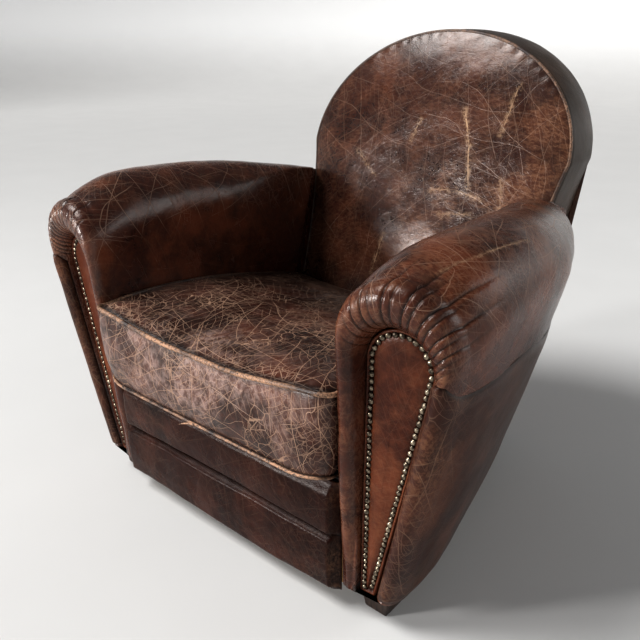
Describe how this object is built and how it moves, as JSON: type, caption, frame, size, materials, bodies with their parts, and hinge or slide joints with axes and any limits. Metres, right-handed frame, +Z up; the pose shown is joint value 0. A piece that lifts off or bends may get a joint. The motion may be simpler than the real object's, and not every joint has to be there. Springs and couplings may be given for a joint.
{
  "type": "club chair",
  "caption": "Worn brown leather club chair: rolled arms with nailed facings, arched padded back and a loose seat cushion with piping.",
  "frame": {"origin": "on the floor, below the middle of the chair's bounding box", "axes": "+Z up, the chair faces -Y, +X towards the right arm as the chair is seen from the front"},
  "size_m": [0.927, 0.864, 0.8605],
  "materials": {
    "leather": "dark brown, glossy, cracked and creased with wear",
    "worn_leather": "brown, rubbed pale along the front edge",
    "piping": "rubbed to tan",
    "brass_nails": "tarnished antique brass",
    "beech": "raw sawn hardwood",
    "dark_wood": "dark stained, scuffed",
    "spring_steel": "plain spring wire",
    "hessian": "coarse jute cloth",
    "black_cloth": "matt black cloth",
    "webbing": "elastic grey webbing",
    "foam": "yellowed open-cell foam",
    "zip": "dull brass"
  },
  "bodies": {
    "root": {"right_side_rail": "beech", "left_side_rail": "beech", "right_arm_top_rail": "beech", "left_arm_top_rail": "beech", "right_arm_front_board": "beech", "left_arm_front_board": "beech", "right_back_post": "beech", "left_back_post": "beech", "right_front_foot": "dark_wood", "left_front_foot": "dark_wood", "right_rear_foot": "dark_wood", "left_rear_foot": "dark_wood", "right_arm_pad": "leather", "left_arm_pad": "leather", "right_outside_arm_panel": "leather", "left_outside_arm_panel": "leather", "right_arm_facing": "leather", "left_arm_facing": "leather", "right_nail_trim": "brass_nails", "left_nail_trim": "brass_nails", "front_rail": "beech", "rear_rail": "beech", "back_top_rail": "beech", "back_lower_rail": "beech", "inside_back": "leather", "back_band": "leather", "back_welt": "piping", "outside_back": "leather", "back_strap_lower": "webbing", "back_strap_middle": "webbing", "back_strap_upper": "webbing", "front_rail_upper_band": "leather", "front_rail_lower_band": "leather", "dust_cover": "black_cloth", "seat_spring_1": "spring_steel", "seat_spring_2": "spring_steel", "seat_spring_3": "spring_steel", "seat_spring_4": "spring_steel", "spring_hessian": "hessian", "seat_deck": "black_cloth", "cushion_cover": "worn_leather", "cushion_foam": "foam", "cushion_zip": "zip", "cushion_welt_lower": "piping", "cushion_welt_upper": "piping"}
  },
  "joints": []
}
